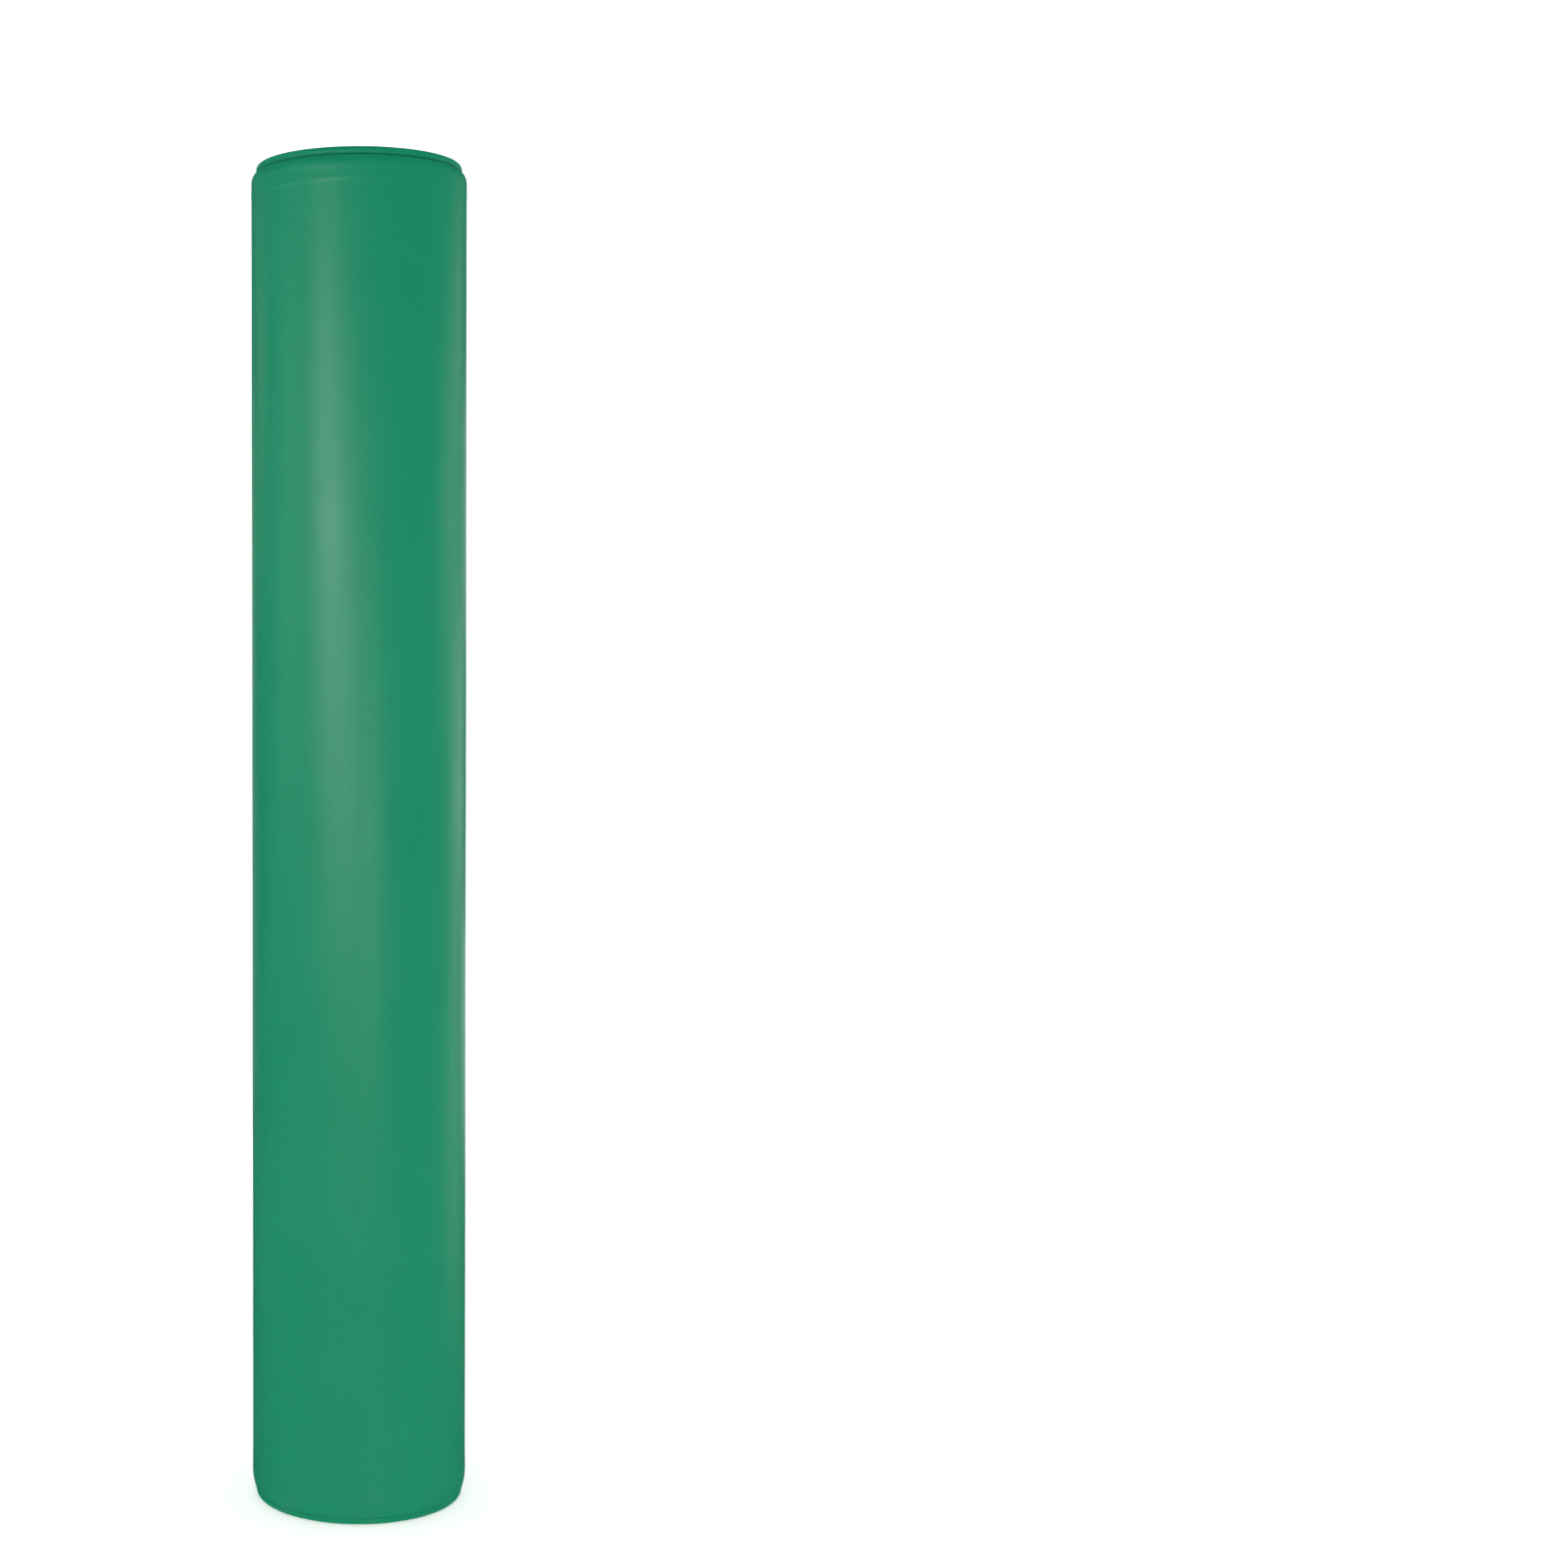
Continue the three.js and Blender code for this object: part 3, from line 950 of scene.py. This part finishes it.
def alongLining(x, y):
    # Distance along the lining's cut, from the hinge side to the closure side
    radius = math.hypot(x, y)
    turn = math.atan2(x, -y)  # 0 at the hinge side of the bore, pi at the closure side
    if turn < math.pi / 2 and radius > lining["boreReach"]:
        return slack["folds"][0] - (radius - pad["bore"])
    if radius > lining["boreReach"]:
        return slack["folds"][1] + radius - pad["bore"]
    return slack["folds"][0] + (slack["folds"][1] - slack["folds"][0]) * turn / math.pi


def makeLining(half, side):
    low = lining["endDepth"]["bottom"]
    high = pad["height"] - lining["endDepth"]["top"]
    points = [(side * x, y, low) for x, y in liningPath()]
    piece = drawLine(f"{half}_lining", points)
    fine = lining["endRings"]
    heights = [low] + [low + f for f in fine]
    even = (high - low - 2 * fine[-1]) / lining["rings"]
    heights += [low + fine[-1] + even * k for k in range(1, lining["rings"])]
    heights += [high - f for f in reversed(fine)] + [high]
    for start, stop in zip(heights, heights[1:]):
        extrudeUp(stop - start)
    leaveEdit()

    def settle(co):
        radius = math.hypot(co.x, co.y)
        x = abs(co.x)
        # folds sink towards the foam, because the other half or the pole is in front
        swell = liningSlack(alongLining(x, co.y), co.z if side > 0 else pad["height"] - co.z)
        push = lining["fold"] * (1 - math.exp(-max(0.0, swell) / lining["foldScale"]))
        inner, outer = lining["seat"]
        if x < 0.002 and inner < radius < outer:
            fade = lining["seatFade"]
            x += push * ease((radius - inner) / fade) * ease((outer - radius) / fade)
        elif radius < lining["boreReach"]:
            x, co.y = x + push * x / radius, co.y + push * co.y / radius
        # both ends dip in behind the panels, and follow the shoulder outside the welts
        for end, edge in (("bottom", low), ("top", high)):
            distance = abs(co.z - edge)
            tucked = lining["tuck"] * (1 - ease(distance / lining["tuckReach"]))
            if tucked > 0:
                if radius < lining["filletReach"]:
                    x, co.y = x + tucked * x / radius, co.y + tucked * co.y / radius
                else:
                    x += tucked
            if distance < lining["shoulderFade"] and radius > lining["shoulderStart"]:
                further, below = lining["underShoulder"]
                depth = max(pad["collar"], shoulderDepth(radius + further, end)) + below
                own = abs(co.z - fromEnd(end, 0))
                least = lining["endDepth"][end]
                risen = ease((radius - lining["shoulderStart"]) / lining["shoulderRise"])
                wanted = least + (depth - least) * risen
                push = max(0.0, wanted - least) * (1 - (own - least) / lining["shoulderFade"])
                co.z += push if end == "bottom" else -push
        return Vector((side * x, co.y, co.z))

    sculpt(piece, settle)

    def outward(co):
        onFacing = math.hypot(co.x, co.y) > lining["facingStart"]
        return Vector((-side, 0, 0)) if onFacing else -radial(co)

    makeCloth(piece, outward, liningCloth, degrees=60)
    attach(piece, f"{half}_half")
    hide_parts(f"{half}_bore_liner", f"{half}_hinge_facing", f"{half}_closure_facing")
    return piece


linings = {half: makeLining(half, side) for half, side in halves.items()}
print("linings made")

# Foam: three stacked blocks in each half

foam = {
    "inset": 0.0026, "bore": 0.0532, "radius": 0.1422, "bevel": 0.0015, "steps": 48, "gap": 0.0003,
    "low": 0.003, "high": 0.012,
    # radius and depth of the rebate and shoulder at both ends of the core
    "shoulder": ((0.122, 0.0165), (0.133, 0.0165), (0.1395, 0.0205), (0.1422, 0.03)),
}


def makeFoam(half, side, index, place):
    third = pad["height"] / 3
    low = foam["low"] if index == 0 else index * third + foam["gap"]
    high = pad["height"] - foam["high"] if index == 2 else (index + 1) * third - foam["gap"]
    inner, outer, rebate = foam["bore"], foam["radius"], foam["shoulder"][0][0]
    line = [(inner, low), (rebate if index == 0 else outer, low)]
    if index == 0:
        line += foam["shoulder"]
    if index == 2:
        line += [(radius, pad["height"] - depth) for radius, depth in reversed(foam["shoulder"])]
        line += [(rebate, high)]
    else:
        line += [(outer, high)]
    line += [(inner, high)]
    piece = drawLine(f"{half}_foam_{place}_block", [(0, r, z) for r, z in line], closed=True)
    spinRound(foam["steps"], side * math.pi)
    cutAcross((side * foam["inset"], 0, 0), (side, 0, 0), clear_inner=True, use_fill=True)
    pickAll()
    bpy.ops.mesh.remove_doubles(threshold=within["line"])
    bpy.ops.mesh.normals_make_consistent(inside=False)
    leaveEdit()
    addModifier(piece, "BEVEL", width=foam["bevel"], segments=2, limit_method="ANGLE",
                angle_limit=math.radians(50))
    smooth(piece)
    dress(piece, foamBody)
    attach(piece, f"{half}_half")
    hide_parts(f"{half}_foam_{place}")
    return piece


foamBlocks = {half: [makeFoam(half, side, i, p) for i, p in enumerate(("lower", "middle", "upper"))]
              for half, side in halves.items()}
print("foam blocks made")

# Closure: flap sewn to the right half, hook tape in it, loop tape on the left half

closure = {
    "low": 0.032,
    "high": 1.768,
    "rootEdge": -0.045,
    "hinge": -0.0201,
    "freeEdge": 0.0709,
    "corner": 0.015,
    "hem": 0.008,
    "onCover": 0.0015,
    "onTapes": 0.0045,
    "tapeStart": 0.012,
    "tapeEnd": 0.062,
    "tapeLow": 0.04,
    "tapeHigh": 1.76,
    "tape": 0.0012,
    # where the stitches run, and how deep they draw the flap in
    "rootSeams": (-0.0415, -0.0245),
    "tapeSeams": (0.0142, 0.0598),
    "loopSeams": (0.0138, 0.0602),
    "drawn": ((-0.0415, 0.00018), (-0.0245, 0.00018), (0.0142, 0.00022), (0.0598, 0.00022),
              (0.0662, 0.00025)),
    "drawnWidth": 0.0009,
    "tapeRise": (0.001, 0.012),  # start and width of the slope up to the tapes
    "edgeDrop": 0.0011,  # past the tapes, towards the free edge
    "edgeSlope": (0.0625, 0.0085),
    "wave": 0.00022,
    "waveScale": (18, 7),
    "waveFade": 0.02,
    "hemStart": -0.0145,
    "hemRise": 0.00105,  # over the folded hem at both ends
    # where that rise starts or ends, and over what width
    "hemFade": {"end": (0.0095, 0.002), "tapes": (0.002, 0.01), "hinge": (0.004, 0.006)},
    "hemGap": 0.00004,
    "hemThickness": 0.0009,
    "hemSeam": 0.0047,
    "tapeDip": 0.00025,  # at a tape's woven edges
    "tapeDipFade": (0.002, 0.0015),
    "tapeFit": 0.0002,  # how much thinner than in the CAD a tape is
    "tapeEdges": (0.0022, 0.0032),
    "tapeMesh": (0.0055, 0.02),  # steps along and up of the flat cuts
    "hemMesh": (0.0045, 0.0125),
    "flapMesh": 0.0125,
    "hemSeamStart": -0.012,
    "seamEnds": {"flap": 0.004, "tape": 0.002},
    "loopSeamRise": 0.0013,
    # upright lines of the flap, close together at the seams and at the fold
    "lines": (-0.0425, -0.0415, -0.0405, -0.036, -0.031, -0.0255, -0.0245, -0.0235,
              -0.0228, -0.0222, -0.0216, -0.021, -0.0204, -0.0198, -0.0192, -0.0186, -0.018, -0.0172,
              -0.015, -0.012, -0.008, -0.004, 0.0, 0.002, 0.0045, 0.007, 0.0095, 0.012,
              0.0133, 0.0142, 0.0151, 0.02, 0.026, 0.032, 0.038, 0.044, 0.05, 0.055,
              0.0588, 0.0598, 0.0608, 0.063, 0.0652, 0.0662, 0.0672, 0.069),
    "endLines": (0.002, 0.0045, 0.0075, 0.0095, 0.012, 0.018),
}


def flapSkin(along, height):
    # Rise of the flap's outer face over the pad's side
    start, wide = closure["tapeRise"]
    rise = closure["onCover"] + (closure["onTapes"] - closure["onCover"]) * ease((along - start) / wide)
    start, wide = closure["edgeSlope"]
    rise -= closure["edgeDrop"] * ease((along - start) / wide)
    hemmed = min(height - closure["low"], closure["high"] - height)
    atEnd, atTapes, atHinge = closure["hemFade"].values()
    if along > closure["hinge"] + atHinge[0]:
        lift = ease((atEnd[0] - hemmed) / atEnd[1]) * (1 - ease((along - atTapes[0]) / atTapes[1]))
        rise += closure["hemRise"] * lift * ease((along - closure["hinge"] - atHinge[0]) / atHinge[1])
    for line, depth in closure["drawn"]:
        rise -= depth * math.exp(-((along - line) / closure["drawnWidth"]) ** 2)
    if along > closure["hinge"]:
        across, upward = closure["waveScale"]
        wave = noise.noise(Vector((along * across, height * upward, 11)))
        rise += closure["wave"] * wave * ease((along - closure["hinge"]) / closure["waveFade"])
    return rise


def flatSheet(name, fromAlong, toAlong, low, high, corner=None):
    # A flat cut of cloth, laid out as along by height
    clearPick()
    wide, tall = toAlong - fromAlong, high - low
    bpy.ops.mesh.primitive_plane_add(size=1, location=((fromAlong + toAlong) / 2, (low + high) / 2, 0))
    piece = bpy.context.active_object
    piece.scale = (wide, tall, 1)
    piece = named(name)
    editPiece(piece)
    if corner:
        pick(piece, "VERT", lambda co, v: co.x > toAlong - within["line"])
        bpy.ops.mesh.bevel(offset=corner, segments=7, affect="VERTICES", clamp_overlap=False)
    return piece


def cutLines(alongs, heights):
    for along in alongs:
        cutAcross((along, 0, 0), (1, 0, 0))
    for height in heights:
        cutAcross((0, height, 0), (0, 1, 0))


def spaced(low, high, step):
    count = max(1, round((high - low) / step))
    return [low + (high - low) * k / count for k in range(1, count)]


def wrap(piece, skin):
    # Flat x, y and z become the arc from the split, the height and the rise over skin
    sculpt(piece, lambda co: onPad(co.x, co.y, skin(co.x, co.y) + co.z))


def bendFlap(piece):
    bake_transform(piece)


def makeFlap():
    low, high = closure["low"], closure["high"]
    piece = flatSheet("closure_flap_cloth", closure["rootEdge"], closure["freeEdge"], low, high,
                      closure["corner"])
    reach = closure["endLines"][-1]
    nearEnd = [low + line for line in closure["endLines"]]
    heights = nearEnd + spaced(low + reach, high - reach, closure["flapMesh"])
    heights += [low + high - e for e in reversed(nearEnd)]
    cutLines(closure["lines"], heights)
    leaveEdit()
    wrap(piece, flapSkin)
    makeCloth(piece, radial, flapCloth)
    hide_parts("closure_flap", "flap_root_strip")
    return piece


def makeHem():
    # The facing under the flap's free edge and ends
    low, high, wide = closure["low"], closure["high"], closure["hem"]
    start = closure["hemStart"]
    piece = flatSheet("closure_flap_hem", start, closure["freeEdge"], low, high, closure["corner"])
    pickAll()
    bpy.ops.mesh.inset(thickness=wide)
    across, up = closure["hemMesh"]
    cutLines(spaced(start, closure["freeEdge"], across), spaced(low, high, up))
    pick(piece, "FACE", lambda co, f: co.x < closure["freeEdge"] - wide
         and low + wide < co.y < high - wide)
    bpy.ops.mesh.delete(type="FACE")
    leaveEdit()
    wrap(piece, lambda along, height: flapSkin(along, height) - pad["cloth"] - closure["hemGap"])
    makeCloth(piece, radial, flapCloth, closure["hemThickness"])
    return piece


def makeTapePiece(name, rise, material, body, cadNode, faceSign):
    start, stop = closure["tapeStart"], closure["tapeEnd"]
    piece = flatSheet(name, start, stop, closure["tapeLow"], closure["tapeHigh"])
    edges = [start + edge for edge in closure["tapeEdges"]]
    across, up = closure["tapeMesh"]
    alongs = edges + spaced(edges[-1], stop - closure["tapeEdges"][-1], across)
    alongs += [start + stop - e for e in reversed(edges)]
    cutLines(alongs, spaced(closure["tapeLow"], closure["tapeHigh"], up))
    leaveEdit()

    def skin(along, height):
        inside = min(along - start, stop - along)
        left = ease((inside - closure["tapeDipFade"][0]) / closure["tapeDipFade"][1])
        return rise - faceSign * closure["tapeDip"] * (1 - left)

    wrap(piece, skin)
    makeCloth(piece, lambda co: radial(co) * faceSign, material, closure["tape"] - closure["tapeFit"])
    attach(piece, body)
    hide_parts(cadNode)
    return piece


flapCover = makeFlap()
flapHem = makeHem()
loopTape = makeTapePiece("loop_tape_strip", 0.0015, loopTapeYarn, "left_half", "loop_tape", 1)
hookTape = makeTapePiece("hook_tape_strip", 0.0018, hookTapeYarn, "closure_flap", "hook_tape", -1)
print("closure made")

# Stitches: one stitch modelled, repeated along a seam and laid on the cloth

stitch = {"pitch": 0.0044, "long": 0.0033, "thick": 0.00034, "taper": 0.45, "lift": 0.00028, "dip": 0.0005}


def stitchLine(name, path, skin):
    # path gives (along, height) at a distance along the seam, and its whole length
    place, length = path
    clearPick()
    bpy.ops.mesh.primitive_cylinder_add(vertices=6, radius=stitch["thick"], depth=stitch["long"],
                                        rotation=(0, math.pi / 2, 0), location=(stitch["pitch"] / 2, 0, 0))
    piece = named(name)
    editPiece(piece)
    for cut in (0.25, 0.5, 0.75):
        cutAcross((stitch["pitch"] / 2 + (cut - 0.5) * stitch["long"], 0, 0), (1, 0, 0))
    leaveEdit()

    def arch(co):
        share = (co.x - stitch["pitch"] / 2) / (stitch["long"] / 2)
        taper = 1 - stitch["taper"] * abs(share) ** 3
        lift = stitch["lift"] - stitch["dip"] * share * share
        return Vector((co.x, co.y * taper, co.z * taper + lift))

    sculpt(piece, arch)
    addModifier(piece, "ARRAY", count=int(length / stitch["pitch"]), use_relative_offset=False,
                use_constant_offset=True, constant_offset_displace=(stitch["pitch"], 0, 0))

    def lay(co):
        along, height = place(co.x)
        nextAlong, nextHeight = place(co.x + 0.0002)
        direction = Vector((nextAlong - along, nextHeight - height)).normalized()
        along -= direction.y * co.y
        height += direction.x * co.y
        return onPad(along, height, skin(along, height) + co.z)

    sculpt(piece, lay)
    smooth(piece, 60)
    dress(piece, threadYarn)
    return piece


def upright(along, low, high):
    return (lambda run: (along, low + run)), high - low


def roundFlap(inset):
    # Along the lower end, round the corner, up the free edge and back along the upper end
    start = closure["hemSeamStart"]
    radius = closure["corner"] - inset
    right = closure["freeEdge"] - closure["corner"]
    low, high = closure["low"] + inset, closure["high"] - inset
    level, rise, bend = right - start, high - low - 2 * radius, math.pi / 2 * radius

    def place(run):
        if run < level:
            return start + run, low
        run -= level
        if run < bend:
            turn = run / radius
            return right + radius * math.sin(turn), low + radius - radius * math.cos(turn)
        run -= bend
        if run < rise:
            return right + radius, low + radius + run
        run -= rise
        if run < bend:
            turn = run / radius
            return right + radius * math.cos(turn), high - radius + radius * math.sin(turn)
        return right - (run - bend), high

    return place, 2 * level + 2 * bend + rise


def loopSkin(along, height):
    return closure["loopSeamRise"]


def sewRows(name, seams, run, skin, body):
    rows = [stitchLine(f"{name}_{k + 1}", upright(along, *run), skin)
            for k, along in enumerate(closure[seams])]
    for row in rows:
        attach(row, body)
    return rows


seamEnds = closure["seamEnds"]
flapRun = (closure["low"] + seamEnds["flap"], closure["high"] - seamEnds["flap"])
tapeRun = (closure["tapeLow"] + seamEnds["tape"], closure["tapeHigh"] - seamEnds["tape"])
rootRows = sewRows("flap_root_stitches", "rootSeams", flapRun, flapSkin, "right_half")
flapRows = sewRows("flap_tape_stitches", "tapeSeams", tapeRun, flapSkin, "closure_flap")
flapRows.append(stitchLine("flap_hem_stitches", roundFlap(closure["hemSeam"]), flapSkin))
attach(flapRows[-1], "closure_flap")
loopRows = sewRows("loop_tape_stitches", "loopSeams", tapeRun, loopSkin, "left_half")
print("stitches laid")

# Cloth across the joints: the flap and the outer cover are baked where they stand, the hem goes with the
# flap, and the CAD covers are hidden

bendFlap(flapCover)
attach(flapHem, "closure_flap")
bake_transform(outerCover)
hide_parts("left_outer_cover", "right_outer_cover")

# Floor, light and camera

floor = {"size": 30.0, "colour": (0.84, 0.84, 0.84), "dim": (0.05, 0.053, 0.05), "lift": 0.45}
# rise in degrees and level of the sun lamps; "seen" is the backdrop, as bright as the lifted floor
sky = {"room": 0.06, "seen": 1.3, "lamps": 6, "spread": 80,
       "above": (20, 0.68), "below": (-38, 0.49), "overhead": (90, 0.95)}
foot = {"lamps": 4, "distance": 1.2, "height": 0.2, "wide": 1.0, "tall": 0.3, "level": 0.7}
camera = {"distance": 3.3233, "height": 1.1182, "pitch": 1.9821, "lens": 56.264, "sensor": 36,
          "across": 0.271, "up": -0.016}
# azimuth (0 is straight in front), height, width, tallness, level and, where it isn't 2.4, distance
softboxes = {
    "window_high": (-40, 1.60, 0.40, 0.35, 14.4),
    "window_upper": (-28, 1.40, 0.40, 0.35, 25.0),
    "window_lower": (-12, 1.10, 0.40, 0.35, 15.7),
    "window_low": (12, 0.80, 0.40, 0.35, 11.8),
    "side_left": (-80, 1.30, 0.70, 0.90, 1.6),
    "side_left_high": (-75, 1.80, 0.50, 0.50, 2.1),
    "rim_upper": (105, 1.50, 0.50, 0.60, 2.0),
    "rim_high": (120, 1.50, 0.50, 0.60, 1.0),
    "rim_top": (130, 1.95, 0.40, 0.50, 1.4),
    "rim_middle": (120, 0.95, 0.50, 0.60, 1.2),
    "rim_low": (120, 0.40, 0.50, 0.60, 1.75),
    "rim_back": (135, 0.95, 0.50, 0.60, 1.55),
    "rim_edge_high": (154, 1.50, 0.40, 0.50, 1.5),
    "rim_edge_low": (154, 0.30, 0.40, 0.50, 2.5),
    "rim_foot": (112, 0.25, 0.25, 0.35, 0.9, 1.0),
    "rim_left": (-156, 0.95, 0.50, 1.60, 0.60),
    "rim_left_high": (-125, 1.80, 0.50, 0.60, 0.9),
}


def addObject(name, data):
    made = bpy.data.objects.new(name, data)
    bpy.context.scene.collection.objects.link(made)
    return made


def makeFloor():
    clearPick()
    bpy.ops.mesh.primitive_plane_add(size=floor["size"], location=(0, 0, -0.0006))
    piece = named("studio_floor")
    material, tree, shader, place = startMaterial("floorPaint")
    rays = node(tree, "ShaderNodeLightPath")
    spots = node(tree, "ShaderNodeTexNoise", Vector=place.outputs["Object"], Scale=3.0, Detail=3.0)
    worn = tuple(c * 0.995 for c in floor["colour"])
    pale = mixColour(tree, spots.outputs["Fac"], floor["colour"], worn)
    seen = mixColour(tree, rays.outputs["Is Glossy Ray"], pale, floor["dim"])
    # the camera sees the paint a little brighter, so that only the pad's shadow shows on it
    lift = times(tree, rays.outputs["Is Camera Ray"], floor["lift"])
    feed(tree, shader, Base_Color=seen, Roughness=0.9, Specular_IOR_Level=0.0,
         Emission_Color=(1, 1, 1, 1), Emission_Strength=lift)
    piece.data.materials.append(material)
    piece.visible_shadow = False  # the light that a floor throws back comes from lamps below it


def makeWorld():
    # A dim room all round, white where the camera looks past the pad
    world = bpy.data.worlds.new("studio")
    bpy.context.scene.world = world
    world.use_nodes = True
    tree = world.node_tree
    tree.nodes.clear()
    rays = node(tree, "ShaderNodeLightPath")
    room, white = (node(tree, "ShaderNodeBackground", Color=(1, 1, 1, 1), Strength=sky[key])
                   for key in ("room", "seen"))
    seen = node(tree, "ShaderNodeMixShader")
    sources = (rays.outputs["Is Camera Ray"], room.outputs[0], white.outputs[0])
    for socket, source in zip(seen.inputs, sources):
        plug(tree, socket, source)
    node(tree, "ShaderNodeOutputWorld", Surface=seen.outputs[0])


def makeSkyLamp(index, place):
    # Wide lamps all round stand for an even overcast light, and leave no gloss
    rise, level = sky[place]
    lamp = bpy.data.lights.new(f"sky_{place}_{index + 1}", "SUN")
    lamp.energy = level
    lamp.angle = math.radians(sky["spread"])
    lamp.cycles.use_multiple_importance_sampling = False
    box = addObject(lamp.name, lamp)
    box.rotation_euler = (math.radians(90 - rise), 0, math.tau * index / sky["lamps"])
    box.visible_glossy = False


def makeFootLamp(index):
    # Low lamps all round lift the pad's foot, where it shades its own floor
    box = makeSoftbox(f"foot_lamp_{index + 1}", 360 * index / foot["lamps"], foot["height"], foot["wide"],
                      foot["tall"], foot["level"], foot["distance"])
    box.data.cycles.use_multiple_importance_sampling = False
    box.visible_glossy = False


def makeSoftbox(name, azimuth, height, wide, tall, level, distance=2.4):
    turn = math.radians(azimuth)
    spot = Vector((distance * math.sin(turn), -distance * math.cos(turn), height))
    lamp = bpy.data.lights.new(name, "AREA")
    lamp.shape = "RECTANGLE"
    lamp.size, lamp.size_y = wide, tall
    lamp.energy = level * math.pi * wide * tall
    box = addObject(name, lamp)
    box.location = spot
    box.rotation_euler = (Vector((0, 0, height)) - spot).to_track_quat("-Z", "Y").to_euler()
    box.visible_camera = False
    return box


def makeCamera():
    lens = bpy.data.cameras.new("camera")
    lens.lens = camera["lens"]
    lens.sensor_width = camera["sensor"]
    lens.shift_x = camera["across"]
    lens.shift_y = camera["up"]
    lens.clip_end = 100
    eye = addObject("camera", lens)
    eye.location = (0, -camera["distance"], camera["height"])
    eye.rotation_euler = (math.radians(90 - camera["pitch"]), 0, 0)
    bpy.context.scene.camera = eye


makeFloor()
makeWorld()
for name, values in softboxes.items():
    makeSoftbox(name, *values).visible_diffuse = False  # they only draw the soft highlights
for index in range(sky["lamps"]):
    makeSkyLamp(index, "above")
    makeSkyLamp(index, "below")
makeSkyLamp(0, "overhead")
for index in range(foot["lamps"]):
    makeFootLamp(index)
makeCamera()
bpy.context.scene.view_settings.view_transform = "Standard"
print("stage set")
